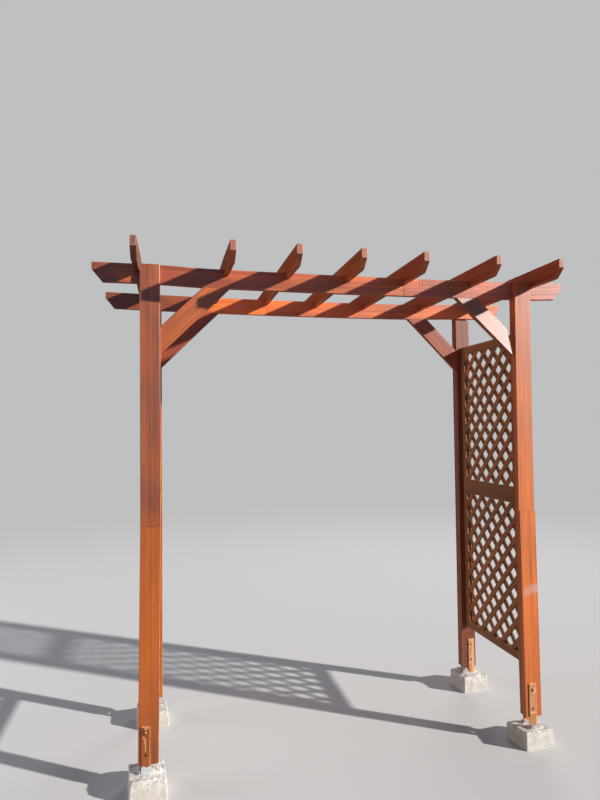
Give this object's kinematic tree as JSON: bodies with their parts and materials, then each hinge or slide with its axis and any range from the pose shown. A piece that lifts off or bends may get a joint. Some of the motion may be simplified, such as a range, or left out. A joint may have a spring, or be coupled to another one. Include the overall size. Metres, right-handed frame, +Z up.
{
  "type": "garden pergola",
  "caption": "Free-standing timber garden pergola: two portal frames with knee braces, notched rafters across, lattice sides, on concrete plinths.",
  "frame": {"origin": "on the ground, under the middle of the pergola", "axes": "+X to the right along the front beam, +Y from the front frame to the rear frame, +Z up"},
  "size_m": [2.55, 1.282, 2.562],
  "materials": {
    "stained_wood": "red-brown translucent wood stain, satin",
    "trellis_wood": "brown translucent wood stain over green-treated wood, worn",
    "painted_strap": "stain-coloured paint, peeling, zinc bare near the concrete",
    "concrete": "cast grey concrete, weathered"
  },
  "bodies": {
    "root": {"front_left_post_outer_boards": "stained_wood", "front_left_post_inner_boards": "stained_wood", "front_left_brace": "stained_wood", "front_left_plinth": "concrete", "front_left_straps": "painted_strap", "front_right_post_outer_boards": "stained_wood", "front_right_post_inner_boards": "stained_wood", "front_right_brace": "stained_wood", "front_right_plinth": "concrete", "front_right_straps": "painted_strap", "rear_left_post_outer_boards": "stained_wood", "rear_left_post_inner_boards": "stained_wood", "rear_left_brace": "stained_wood", "rear_left_plinth": "concrete", "rear_left_straps": "painted_strap", "rear_right_post_outer_boards": "stained_wood", "rear_right_post_inner_boards": "stained_wood", "rear_right_brace": "stained_wood", "rear_right_plinth": "concrete", "rear_right_straps": "painted_strap", "front_beam_left": "stained_wood", "front_beam_right": "stained_wood", "rear_beam_left": "stained_wood", "rear_beam_right": "stained_wood", "rafter_1": "stained_wood", "rafter_2": "stained_wood", "rafter_3": "stained_wood", "rafter_4": "stained_wood", "rafter_5": "stained_wood", "rafter_6": "stained_wood", "rafter_7": "stained_wood", "left_lower_panel_frame": "trellis_wood", "left_lower_lattice": "trellis_wood", "left_upper_panel_frame": "trellis_wood", "left_upper_lattice": "trellis_wood", "right_lower_panel_frame": "trellis_wood", "right_lower_lattice": "trellis_wood", "right_upper_panel_frame": "trellis_wood", "right_upper_lattice": "trellis_wood"}
  },
  "joints": []
}
